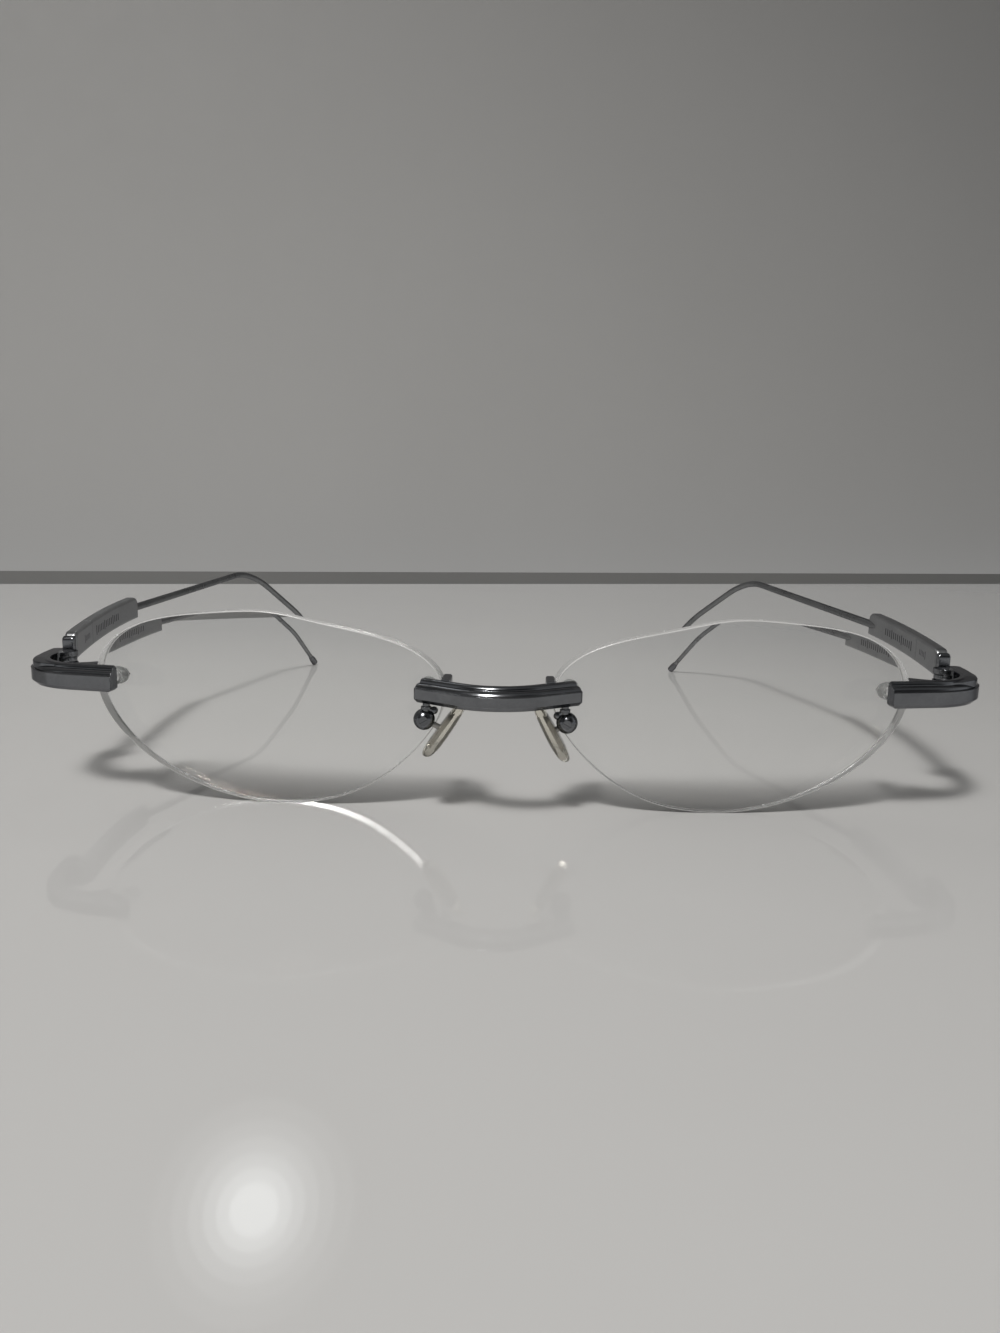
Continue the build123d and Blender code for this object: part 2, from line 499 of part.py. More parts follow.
# ------------------------------------------- origin: centre of the bottom
lo = [1e9] * 3
hi = [-1e9] * 3
for s in parts.values():
    bb = s.bounding_box()
    for k, (a, b) in enumerate(((bb.min.X, bb.max.X), (bb.min.Y, bb.max.Y), (bb.min.Z, bb.max.Z))):
        lo[k] = min(lo[k], a)
        hi[k] = max(hi[k], b)
shift = Vector(-(lo[0] + hi[0]) / 2, -(lo[1] + hi[1]) / 2, -lo[2])
os.makedirs("parts", exist_ok=True)
for name, s in parts.items():
    m = Pos(shift.X, shift.Y, shift.Z) * s
    m.label = name
    export_step(m, "parts/" + name + ".step")
print("box", [round(hi[k] - lo[k], 3) for k in range(3)], "shift", shift)
for nm, e, d in (("right", end_r, dir_r), ("left", end_l, dir_l)):
    print("tip", nm, e - d * (TIP_L / 2), d)
print("pivot", (PIV_X, PIV_Y + shift.Y), "ball right", PR["ball"] + shift, "ball left", PL["ball"] + shift)
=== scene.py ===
import bpy
import json
import math
import numpy as np
from mathutils import Matrix, Vector
from mathutils.geometry import delaunay_2d_cdt

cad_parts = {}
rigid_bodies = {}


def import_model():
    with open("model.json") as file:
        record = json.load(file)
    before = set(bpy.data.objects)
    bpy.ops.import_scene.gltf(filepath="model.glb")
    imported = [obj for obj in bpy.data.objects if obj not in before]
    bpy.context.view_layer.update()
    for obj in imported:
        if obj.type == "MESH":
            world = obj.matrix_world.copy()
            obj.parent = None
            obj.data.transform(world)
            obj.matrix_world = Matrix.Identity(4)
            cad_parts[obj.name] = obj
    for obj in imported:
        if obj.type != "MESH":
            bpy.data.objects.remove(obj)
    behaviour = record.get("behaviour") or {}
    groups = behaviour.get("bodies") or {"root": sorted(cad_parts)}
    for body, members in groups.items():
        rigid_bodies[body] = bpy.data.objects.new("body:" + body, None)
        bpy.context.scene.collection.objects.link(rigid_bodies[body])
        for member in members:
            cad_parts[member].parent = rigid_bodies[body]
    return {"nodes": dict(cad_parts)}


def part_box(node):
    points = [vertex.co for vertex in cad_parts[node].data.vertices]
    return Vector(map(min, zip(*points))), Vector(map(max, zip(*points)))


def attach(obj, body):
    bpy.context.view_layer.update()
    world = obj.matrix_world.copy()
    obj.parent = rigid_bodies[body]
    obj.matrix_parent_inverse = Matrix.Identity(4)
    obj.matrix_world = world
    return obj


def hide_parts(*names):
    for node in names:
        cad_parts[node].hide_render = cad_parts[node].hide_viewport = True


for o in list(bpy.data.objects):
    bpy.data.objects.remove(o, do_unlink=True)
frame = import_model()
bpy.context.view_layer.update()
nodes = frame["nodes"]
scene = bpy.context.scene
MM = 0.001

# ------------------------------------------------------------------ lenses
# Numbers in millimetres in a working frame with Y = 0 near the lens plane;
# SHIFT takes that frame to the row frame and is read off the two CAD lenses.
LENS_X, LENS_Z, LENS_SCALE = 33.0, 13.77, 1.006
OPT_X, OPT_Z = 31.0, 13.2
R_FRONT, R_BACK, T_CENTRE, LENS_Y0 = 191.0, 78.75, 1.2, -1.8
WRAP = math.radians(2.86)
HOLES = ((10.0, 17.05), (55.9, 17.05))
HOLE_R = 0.85
OUTLINE = [
    (23.98, 0), (24.72, 4.36), (22.85, 8.32), (18.96, 10.95), (14.64, 12.28), (10.81, 12.89),
    (7.63, 13.21), (4.89, 13.44), (2.39, 13.58), (0, 13.57), (-2.35, 13.34), (-4.7, 12.92),
    (-7.16, 12.39), (-9.91, 11.81), (-13.26, 11.12), (-17.41, 10.05), (-21.93, 7.98), (-24.98, 4.41),
    (-24.89, 0), (-22.59, -3.98), (-19.65, -7.15), (-16.62, -9.59), (-13.56, -11.38), (-10.54, -12.56),
    (-7.64, -13.24), (-4.94, -13.58), (-2.41, -13.69), (0, -13.63), (2.36, -13.39), (4.72, -12.96),
    (7.12, -12.33), (9.64, -11.49), (12.35, -10.36), (15.3, -8.83), (18.44, -6.71), (21.53, -3.8)]


def closed_spline(points, count):
    """count points along the closed cubic through points, with unit tangents."""
    p = np.array(points, float)
    n = len(p)
    h = np.linalg.norm(np.roll(p, -1, 0) - p, axis=1)
    a = np.zeros((n, n))
    b = np.zeros((n, 2))
    for i in range(n):
        hm, hp = h[i - 1], h[i]
        a[i, (i - 1) % n] += hm
        a[i, i] += 2 * (hm + hp)
        a[i, (i + 1) % n] += hp
        b[i] = 6 * ((p[(i + 1) % n] - p[i]) / hp - (p[i] - p[i - 1]) / hm)
    m = np.linalg.solve(a, b)
    t = np.concatenate([[0], np.cumsum(h)])
    out, tan = [], []
    for s in np.linspace(0, t[-1], count, endpoint=False):
        i = min(int(np.searchsorted(t, s, "right")) - 1, n - 1)
        j, u, w = (i + 1) % n, s - t[i], t[i + 1] - s
        out.append(m[i] * w ** 3 / (6 * h[i]) + m[j] * u ** 3 / (6 * h[i])
                   + (p[i] / h[i] - m[i] * h[i] / 6) * w + (p[j] / h[i] - m[j] * h[i] / 6) * u)
        tan.append(-m[i] * w ** 2 / (2 * h[i]) + m[j] * u ** 2 / (2 * h[i])
                   - (p[i] / h[i] - m[i] * h[i] / 6) + (p[j] / h[i] - m[j] * h[i] / 6))
    tan = np.array(tan)
    return np.array(out), tan / np.linalg.norm(tan, axis=1)[:, None]


def lens_mesh():
    """One right lens in the working frame: vertices, faces, a normal for each face corner, and a material index for each face."""
    rim, tan = closed_spline([(LENS_X + LENS_SCALE * x, LENS_Z + LENS_SCALE * z) for x, z in OUTLINE], 300)
    out = np.stack([tan[:, 1], -tan[:, 0]], 1)           # outward, the outline runs anticlockwise
    cf = np.array([OPT_X, LENS_Y0 + R_FRONT, OPT_Z])
    tb = T_CENTRE - 0.008
    cb = np.array([OPT_X, LENS_Y0 + tb + R_BACK, OPT_Z])

    def front_y(x, z):
        return cf[1] - np.sqrt(R_FRONT ** 2 - (x - cf[0]) ** 2 - (z - cf[2]) ** 2)

    def back_y(x, z):
        return cb[1] - np.sqrt(R_BACK ** 2 - (x - cb[0]) ** 2 - (z - cb[2]) ** 2)

    bevel = 0.16
    inner = rim - out * bevel
    hole_n = 40
    ang = np.linspace(0, 2 * np.pi, hole_n, endpoint=False)
    holes = [np.stack([hx + (HOLE_R + 0.012) * np.cos(ang), hz + (HOLE_R + 0.012) * np.sin(ang)], 1) for hx, hz in HOLES]
    pts = [tuple(q) for q in inner]
    edges = [(i, (i + 1) % len(inner)) for i in range(len(inner))]
    for h in holes:
        base = len(pts)
        pts += [tuple(q) for q in h]
        edges += [(base + i, base + (i + 1) % hole_n) for i in range(hole_n)]
    for k, hx, hz in ((0, *HOLES[0]), (1, *HOLES[1])):
        for r, c in ((1.15, 36), (1.55, 32)):
            pts += [(hx + r * math.cos(2 * math.pi * i / c), hz + r * math.sin(2 * math.pi * i / c)) for i in range(c)]
    step = 0.62
    boundary = inner
    for row, z in enumerate(np.arange(LENS_Z - 14.5, LENS_Z + 14.5, step * 0.87)):
        for x in np.arange(LENS_X - 26, LENS_X + 26, step):
            q = np.array([x + (row % 2) * step / 2, z])
            d = np.hypot(*(boundary - q).T)
            i = int(d.argmin())
            if (q - boundary[i]) @ out[i] > -0.30 or d[i] < 0.38:
                continue
            if min(math.hypot(q[0] - hx, q[1] - hz) for hx, hz in HOLES) < 1.9:
                continue
            pts.append(tuple(q))
    vs, _, fs, *_ = delaunay_2d_cdt([Vector(q) for q in pts], edges, [], 0, 1e-7)
    xy = np.array([tuple(v) for v in vs])
    n = len(xy)
    tris = []
    for f in fs:
        c = xy[list(f)].mean(0)
        i = int(np.hypot(*(boundary - c).T).argmin())
        if (c - boundary[i]) @ out[i] > 0.02:
            continue
        if min(math.hypot(c[0] - hx, c[1] - hz) for hx, hz in HOLES) < HOLE_R:
            continue
        a, b, d = (xy[j] for j in f[:3])
        area = (b[0] - a[0]) * (d[1] - a[1]) - (b[1] - a[1]) * (d[0] - a[0])
        tris.append(tuple(f) if area > 0 else tuple(reversed(f)))
    used = sorted({i for f in tris for i in f})
    keep = {old: new for new, old in enumerate(used)}
    xy = xy[used]
    n = len(xy)
    tris = [tuple(keep[i] for i in f) for f in tris]
    verts = [(x, float(front_y(x, z)), z) for x, z in xy] + [(x, float(back_y(x, z)), z) for x, z in xy]
    faces, normals, mats = [], [], []

    def sphere_n(p, centre, sign):
        v = (np.array(p) - centre) * sign
        return v / np.linalg.norm(v)

    for f in tris:                                  # front looks to -Y, seen from there x goes right and z up
        faces.append(f)
        normals.append([sphere_n(verts[i], cf, 1) for i in f])
        mats.append(0)
        g = tuple(i + n for i in reversed(f))
        faces.append(g)
        normals.append([sphere_n(verts[i], cb, -1) for i in g])
        mats.append(0)

    def nearest(q):
        return int(np.hypot(*(xy - q).T).argmin())

    # rounded pin bevel, edge wall, rounded pin bevel
    loop = [nearest(q) for q in inner]
    prof = []
    for k in range(1, 5):
        t = k / 4 * math.pi / 2
        prof.append((math.sin(t), 1 - math.cos(t), t))
    rings, ring_n = [loop], [[sphere_n(verts[i], cf, 1) for i in loop]]
    for s, c, t in prof:
        ids, ns = [], []
        for q, o, i in zip(inner, out, loop):
            w = q + o * bevel * s
            ids.append(len(verts))
            verts.append((w[0], float(front_y(*q)) + bevel * c, w[1]))
            ns.append(np.array([o[0] * math.sin(t), -math.cos(t), o[1] * math.sin(t)]))
        rings.append(ids)
        ring_n.append(ns)
    for s, c, t in reversed(prof):
        ids, ns = [], []
        for q, o, i in zip(inner, out, loop):
            w = q + o * bevel * s
            ids.append(len(verts))
            verts.append((w[0], float(back_y(*q)) - bevel * c, w[1]))
            ns.append(np.array([o[0] * math.sin(t), math.cos(t), o[1] * math.sin(t)]))
        rings.append(ids)
        ring_n.append(ns)
    rings.append([i + n for i in loop])
    ring_n.append([sphere_n(verts[i + n], cb, -1) for i in loop])
    m = len(loop)
    for r in range(len(rings) - 1):
        for i in range(m):
            j = (i + 1) % m
            f = (rings[r][i], rings[r + 1][i], rings[r + 1][j], rings[r][j])
            nn = [ring_n[r][i], ring_n[r + 1][i], ring_n[r + 1][j], ring_n[r][j]]
            pa, pb, pc = (np.array(verts[k]) for k in f[:3])
            if np.cross(pb - pa, pc - pa) @ nn[1] < 0:
                f, nn = f[::-1], nn[::-1]
            faces.append(f)
            normals.append(nn)
            mats.append(1)
    # bores
    for h, (hx, hz) in zip(holes, HOLES):
        ids = [nearest(q) for q in h]
        for i in range(hole_n):
            j = (i + 1) % hole_n
            f = (ids[i], ids[i] + n, ids[j] + n, ids[j])
            nn = []
            for k in f:
                v = np.array([hx - verts[k][0], 0, hz - verts[k][2]])
                nn.append(v / np.linalg.norm(v))
            pa, pb, pc = (np.array(verts[k]) for k in f[:3])
            if np.cross(pb - pa, pc - pa) @ nn[0] < 0:
                f, nn = f[::-1], nn[::-1]
            faces.append(f)
            normals.append(nn)
            mats.append(1)
    c, s = math.cos(WRAP), math.sin(WRAP)
    turn = np.array([[c, -s, 0], [s, c, 0], [0, 0, 1]])
    v = np.array(verts) - [LENS_X, 0, 0]
    v = v @ turn.T + [LENS_X, 0, 0]
    normals = [[turn @ q for q in nn] for nn in normals]
    return v, faces, normals, mats


def make_object(name, verts, faces, normals=None, mats=None, materials=()):
    me = bpy.data.meshes.new(name)
    me.from_pydata([tuple(v) for v in verts], [], [tuple(f) for f in faces])
    for m in materials:
        me.materials.append(m)
    if mats is not None:
        me.polygons.foreach_set("material_index", mats)
    me.polygons.foreach_set("use_smooth", [True] * len(me.polygons))
    if normals is not None:
        me.normals_split_custom_set([tuple(map(float, q)) for nn in normals for q in nn])
    me.update()
    o = bpy.data.objects.new(name, me)
    scene.collection.objects.link(o)
    return o


lens_v, lens_f, lens_n, lens_m = lens_mesh()
r_lo, r_hi = (np.array(c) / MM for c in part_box("lens_right"))
l_lo, l_hi = (np.array(c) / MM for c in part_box("lens_left"))
SHIFT = np.array([
    (r_lo[0] + r_hi[0] + l_lo[0] + l_hi[0]) / 4,
    ((r_lo + r_hi) / 2 - (lens_v.min(0) + lens_v.max(0)) / 2)[1],
    ((r_lo + r_hi) / 2 - (lens_v.min(0) + lens_v.max(0)) / 2)[2]])


def row(points):
    """working frame, millimetres, to row frame, metres"""
    return (np.array(points, float) + SHIFT) * MM


# ------------------------------------------------------------------ camera
CAM_AT = np.array([2.72, -121.7, 40.24])
PITCH, YAW, ROLL = math.radians(9.37), math.radians(-1.22), math.radians(0.97)
fwd = np.array([math.sin(YAW) * math.cos(PITCH), math.cos(YAW) * math.cos(PITCH), -math.sin(PITCH)])
right0 = np.array([math.cos(YAW), -math.sin(YAW), 0.0])
up0 = np.cross(right0, fwd)
right = math.cos(ROLL) * right0 + math.sin(ROLL) * up0
up = -math.sin(ROLL) * right0 + math.cos(ROLL) * up0
cam = bpy.data.cameras.new("camera")
cam.sensor_width = 36.0
cam.sensor_fit = "AUTO"
cam.lens = 880.0 * 36.0 / 1333.0
cam.clip_start, cam.clip_end = 0.003, 20.0
cam_ob = bpy.data.objects.new("camera", cam)
scene.collection.objects.link(cam_ob)
pose = Matrix.Identity(4)
for i, axis in enumerate((right, up, -fwd)):
    for k in range(3):
        pose[k][i] = axis[k]
for k in range(3):
    pose[k][3] = row(CAM_AT)[k]
cam_ob.matrix_world = pose
scene.camera = cam_ob


# --------------------------------------------------------------- materials
class Graph:
    """Short names for the few nodes that the materials below use."""

    def __init__(self, name):
        self.mat = bpy.data.materials.new(name)
        self.mat.use_nodes = True
        self.nt = self.mat.node_tree
        self.nt.nodes.clear()
        self.out = self.nt.nodes.new("ShaderNodeOutputMaterial")
        self.p = self.nt.nodes.new("ShaderNodeBsdfPrincipled")
        self.nt.links.new(self.p.outputs["BSDF"], self.out.inputs["Surface"])

    def node(self, kind, **settings):
        n = self.nt.nodes.new(kind)
        for k, v in settings.items():
            setattr(n, k, v)
        return n

    def link(self, a, b):
        self.nt.links.new(a, b)

    def coords(self, scale=(1, 1, 1), rotate=(0, 0, 0)):
        t = self.node("ShaderNodeTexCoord")
        m = self.node("ShaderNodeMapping")
        m.inputs["Scale"].default_value = scale
        m.inputs["Rotation"].default_value = rotate
        self.link(t.outputs["Object"], m.inputs["Vector"])
        return m.outputs["Vector"]

    def noise(self, scale, detail=3.0, rough=0.55, stretch=(1, 1, 1), rotate=(0, 0, 0)):
        n = self.node("ShaderNodeTexNoise")
        n.inputs["Scale"].default_value = scale
        n.inputs["Detail"].default_value = detail
        n.inputs["Roughness"].default_value = rough
        self.link(self.coords(stretch, rotate), n.inputs["Vector"])
        return n.outputs["Fac"]

    def math(self, op, a, b=None, c=None, clamp=False):
        n = self.node("ShaderNodeMath", operation=op, use_clamp=clamp)
        for i, v in enumerate((a, b, c)):
            if v is None:
                continue
            if isinstance(v, (int, float)):
                n.inputs[i].default_value = v
            else:
                self.link(v, n.inputs[i])
        return n.outputs[0]

    def spread(self, value, lo, hi, from_lo=0.3, from_hi=0.7):
        n = self.node("ShaderNodeMapRange", clamp=True)
        self.link(value, n.inputs["Value"])
        n.inputs["From Min"].default_value = from_lo
        n.inputs["From Max"].default_value = from_hi
        n.inputs["To Min"].default_value = lo
        n.inputs["To Max"].default_value = hi
        return n.outputs["Result"]

    def ramp(self, value, stops):
        n = self.node("ShaderNodeValToRGB")
        el = n.color_ramp.elements
        el[0].position, el[0].color = stops[0][0], (*stops[0][1], 1)
        el[1].position, el[1].color = stops[-1][0], (*stops[-1][1], 1)
        for pos, col in stops[1:-1]:
            e = el.new(pos)
            e.color = (*col, 1)
        self.link(value, n.inputs["Fac"])
        return n.outputs["Color"]

    def mix(self, fac, a, b):
        n = self.node("ShaderNodeMix", data_type="RGBA")
        for sock, v in (("Factor", fac), ("A", a), ("B", b)):
            s = [i for i in n.inputs if i.name == sock and (i.type == "RGBA" or sock == "Factor" and i.type == "VALUE")][0]
            if isinstance(v, tuple):
                s.default_value = (*v, 1)
            elif isinstance(v, (int, float)):
                s.default_value = v
            else:
                self.link(v, s)
        return [s for s in n.outputs if s.type == "RGBA"][0]

    def bump(self, height, strength, distance, normal=None):
        n = self.node("ShaderNodeBump")
        n.inputs["Strength"].default_value = strength
        n.inputs["Distance"].default_value = distance
        self.link(height, n.inputs["Height"])
        if normal is not None:
            self.link(normal, n.inputs["Normal"])
        return n.outputs["Normal"]

    def soft_edge(self, radius):
        n = self.node("ShaderNodeBevel", samples=8)
        n.inputs["Radius"].default_value = radius
        return n.outputs["Normal"]


def put(node, *mats):
    for slot, m in zip(nodes[node].material_slots, mats):
        slot.material = m


def metal(name, dark, light, rough, bevel, grain=(1, 1, 1), grain_scale=9000, grain_bump=0.05, aniso=0.0, marks=0.0, graze=0.45):
    """Metal with cloudy colour, a directed fine grain, faint hairline scratches and softened edges."""
    g = Graph(name)
    p = g.p
    p.inputs["Metallic"].default_value = 1.0
    p.inputs["Anisotropic"].default_value = aniso
    p.inputs["Specular Tint"].default_value = (graze, graze, graze * 1.03, 1)
    cloud = g.noise(260, 4, 0.6)
    fine = g.noise(2400, 3, 0.6)
    both = g.math("ADD", g.math("MULTIPLY", cloud, 0.65), g.math("MULTIPLY", fine, 0.35))
    g.link(g.ramp(both, [(0.34, dark), (0.66, light)]), p.inputs["Base Color"])
    grain_v = g.noise(grain_scale, 2, 0.5, grain)
    hair = g.noise(5200, 2, 0.5, (0.10, 1.0, 1.3), (0.3, 0.5, 0.9))
    hair_mask = g.spread(hair, 0.0, 1.0, 0.63, 0.70)
    r = g.math("ADD", g.spread(cloud, rough[0], rough[1]), g.math("MULTIPLY", grain_v, (rough[1] - rough[0]) * 0.6))
    r = g.math("ADD", r, g.math("MULTIPLY", hair_mask, marks))
    g.link(r, p.inputs["Roughness"])
    height = g.math("SUBTRACT", grain_v, g.math("MULTIPLY", hair_mask, 0.6))
    g.link(g.bump(height, grain_bump, 0.000012, g.soft_edge(bevel)), p.inputs["Normal"])
    return g


polished = metal("gunmetal_polished_look", (0.17, 0.175, 0.185), (0.235, 0.24, 0.25), (0.15, 0.20), 0.00012,
                 grain=(0.12, 1, 1), grain_scale=5000, grain_bump=0.006, marks=0.04).mat
polished_y = metal("gunmetal_polished_small", (0.13, 0.135, 0.145), (0.20, 0.205, 0.215), (0.12, 0.20), 0.00006,
                   grain_bump=0.05, marks=0.08).mat
knuckle_look = metal("gunmetal_polished_knuckle", (0.17, 0.175, 0.185), (0.25, 0.255, 0.265), (0.14, 0.22), 0.00055,
                     grain_bump=0.03, marks=0.05).mat
wire_look = metal("gunmetal_wire", (0.19, 0.195, 0.20), (0.27, 0.275, 0.28), (0.22, 0.32), 0.00004,
                  grain=(1, 0.12, 1), grain_bump=0.10, marks=0.08).mat
steel = metal("steel_bright_look", (0.55, 0.555, 0.56), (0.68, 0.68, 0.69), (0.12, 0.22), 0.00004,
              grain=(1, 0.2, 1), grain_bump=0.08, marks=0.06).mat
core_look = metal("core_metal_look", (0.30, 0.29, 0.27), (0.42, 0.41, 0.39), (0.28, 0.40), 0.00005,
                  grain=(0.2, 1, 1), grain_bump=0.12, marks=0.05).mat


def block_material(side):
    """Satin plate: brushed along its length, with a plain row of fine ticks on the face towards the wearer."""
    g = metal("gunmetal_satin_" + side, (0.27, 0.275, 0.28), (0.36, 0.365, 0.37), (0.26, 0.36), 0.00012,
              grain=(1, 0.06, 1), grain_scale=11000, grain_bump=0.16, aniso=0.35, marks=0.06, graze=0.72)
    p = g.p
    t = g.node("ShaderNodeTexCoord")
    pos, nrm = g.node("ShaderNodeSeparateXYZ"), g.node("ShaderNodeSeparateXYZ")
    g.link(t.outputs["Object"], pos.inputs[0])
    g.link(t.outputs["Normal"], nrm.inputs[0])
    y = g.math("SUBTRACT", g.math("MULTIPLY", pos.outputs["Y"], 1000.0), float(SHIFT[1]) + 17.25)   # mm behind the pivot end
    z = g.math("SUBTRACT", g.math("MULTIPLY", pos.outputs["Z"], 1000.0), float(SHIFT[2]) + 19.3)
    z = g.math("SUBTRACT", z, g.math("MULTIPLY", y, math.tan(math.radians(4.07))))
    inner = g.math("GREATER_THAN", g.math("MULTIPLY", nrm.outputs["X"], -1.0 if side == "right" else 1.0), 0.8)
    masks = []
    for start, stop, pitch, wide, tall in ((12.6, 26.6, 1.0, 0.42, 0.62), (5.2, 8.8, 0.72, 0.36, 0.46)):
        u = g.math("DIVIDE", g.math("SUBTRACT", y, start), pitch)
        bar = g.math("LESS_THAN", g.math("FRACT", u), wide)
        span = g.math("MULTIPLY", g.math("GREATER_THAN", y, start), g.math("LESS_THAN", y, stop))
        fifth = g.math("LESS_THAN", g.math("FRACT", g.math("DIVIDE", g.math("FLOOR", u), 5.0)), 0.1)
        reach = g.math("ADD", tall, g.math("MULTIPLY", fifth, 0.22))
        high = g.math("LESS_THAN", g.math("ABSOLUTE", z), reach)
        masks.append(g.math("MULTIPLY", g.math("MULTIPLY", bar, span), high))
    mask = g.math("MULTIPLY", g.math("MAXIMUM", *masks), inner)
    base = p.inputs["Base Color"].links[0].from_socket
    g.link(g.mix(g.math("MULTIPLY", mask, 0.88), base, (0.07, 0.07, 0.075)), p.inputs["Base Color"])
    rough = p.inputs["Roughness"].links[0].from_socket
    g.link(g.math("ADD", rough, g.math("MULTIPLY", mask, 0.25)), p.inputs["Roughness"])
    return g.mat


def glass(name, tint, rough, ior, film, bump, clear=1.0, shade=None):
    """Clear optical plastic: almost nothing on it but a trace of haze and wiping marks."""
    g = Graph(name)
    p = g.p
    p.inputs["Transmission Weight"].default_value = clear
    p.inputs["IOR"].default_value = ior
    if film:
        p.inputs["Thin Film Thickness"].default_value = film
        p.inputs["Thin Film IOR"].default_value = 1.38
    cloud = g.noise(120, 4, 0.6)
    wipe = g.noise(420, 3, 0.55, (1.0, 1.0, 0.18), (0, 0.5, 0))
    g.link(g.ramp(cloud, [(0.3, tint[0]), (0.7, tint[1])]), p.inputs["Base Color"])
    g.link(g.spread(wipe, rough[0], rough[1], 0.48, 0.72), p.inputs["Roughness"])
    if bump:
        g.link(g.bump(g.noise(3000, 3, 0.6, (1, 1, 0.3)), bump, 0.00001), p.inputs["Normal"])
    if shade:
        # the lens passes most of the light on and spreads it downwards, so its shadow deepens towards its lower rim
        t, sep, lp = g.node("ShaderNodeTexCoord"), g.node("ShaderNodeSeparateXYZ"), g.node("ShaderNodeLightPath")
        g.link(t.outputs["Object"], sep.inputs[0])
        pale = g.ramp(g.math("MULTIPLY", sep.outputs["Z"], 1000.0 / 30.0), shade)
        clear_bsdf, both = g.node("ShaderNodeBsdfTransparent"), g.node("ShaderNodeMixShader")
        g.link(pale, clear_bsdf.inputs["Color"])
        g.link(g.math("MAXIMUM", lp.outputs["Is Shadow Ray"], lp.outputs["Is Diffuse Ray"]), both.inputs[0])
        g.link(p.outputs["BSDF"], both.inputs[1])
        g.link(clear_bsdf.outputs["BSDF"], both.inputs[2])
        g.link(both.outputs["Shader"], g.out.inputs["Surface"])
    return g.mat


SHADE = [(0.0, (0.25,) * 3), (0.30, (0.42,) * 3), (0.60, (0.58,) * 3), (0.92, (0.92,) * 3)]
lens_look = glass("lens_clear_look", ((0.985, 0.99, 0.985), (0.995, 0.997, 0.995)), (0.0, 0.006), 1.46, 100.0, 0.0,
                  shade=SHADE)
edge_look = glass("lens_edge_look", ((0.93, 0.93, 0.92), (0.985, 0.985, 0.975)), (0.20, 0.30), 1.60, 0.0, 0.0, 0.67,
                  shade=SHADE)
washer_look = glass("washer_clear_look", ((0.90, 0.91, 0.90), (0.96, 0.97, 0.96)), (0.28, 0.38), 1.50, 0.0, 0.05, 0.62)

for n in ("bridge_bar", "end_piece_left", "end_piece_right"):
    put(n, polished)
for n in ("hinge_knuckle_left", "hinge_knuckle_right"):
    put(n, knuckle_look)
for n in ("temple_tip_left", "temple_tip_right",
          "pad_arm_left", "pad_arm_right", "pad_box_left", "pad_box_right", "pad_screws"):
    put(n, polished_y)
for n in ("temple_wire_left", "temple_wire_right"):
    put(n, wire_look)
put("temple_block_left", block_material("left"))
put("temple_block_right", block_material("right"))
for n in ("bridge_studs", "end_piece_studs", "hinge_screws", "lens_nuts"):
    put(n, steel)
for n in ("pad_core_left", "pad_core_right"):
    put(n, core_look)
for n in ("lens_sleeves", "lens_washers"):
    put(n, washer_look)

# ------------------------------------------------------------ lens pieces
for side in ("right", "left"):
    v, nn, ff = lens_v, lens_n, lens_f
    if side == "left":
        v = v * [-1, 1, 1]
        nn = [[q * [-1, 1, 1] for q in reversed(k)] for k in nn]
        ff = [tuple(reversed(f)) for f in ff]
    o = make_object("lens_glass_" + side, row(v), ff, nn, lens_m, (lens_look, edge_look))
    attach(o, "front")
    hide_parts("lens_" + side)

# --------------------------------------------------------------- nose pads
PAD_L, PAD_W, PAD_T = 9.8, 5.4, 1.6
PADS = {
    "right": dict(ball=(9.5, -3.6, 13.1), tip=(9.9, 7.45), lean=29.0),
    "left": dict(ball=(10.1, -3.6, 13.2), tip=(10.3, 7.8), lean=35.0),
}
PAD_BACK = 0.9


def silicone():
    g = Graph("pad_silicone_look")
    p = g.p
    p.inputs["Transmission Weight"].default_value = 0.93
    p.inputs["IOR"].default_value = 1.42
    p.inputs["Subsurface Weight"].default_value = 0.0
    cloud = g.noise(420, 4, 0.6)
    g.link(g.ramp(cloud, [(0.3, (0.93, 0.885, 0.77)), (0.7, (0.97, 0.945, 0.86))]), p.inputs["Base Color"])
    g.link(g.spread(g.noise(900, 3, 0.6), 0.06, 0.16), p.inputs["Roughness"])
    g.link(g.bump(g.noise(2600, 3, 0.6), 0.10, 0.00002), p.inputs["Normal"])
    return g.mat


pad_look = silicone()


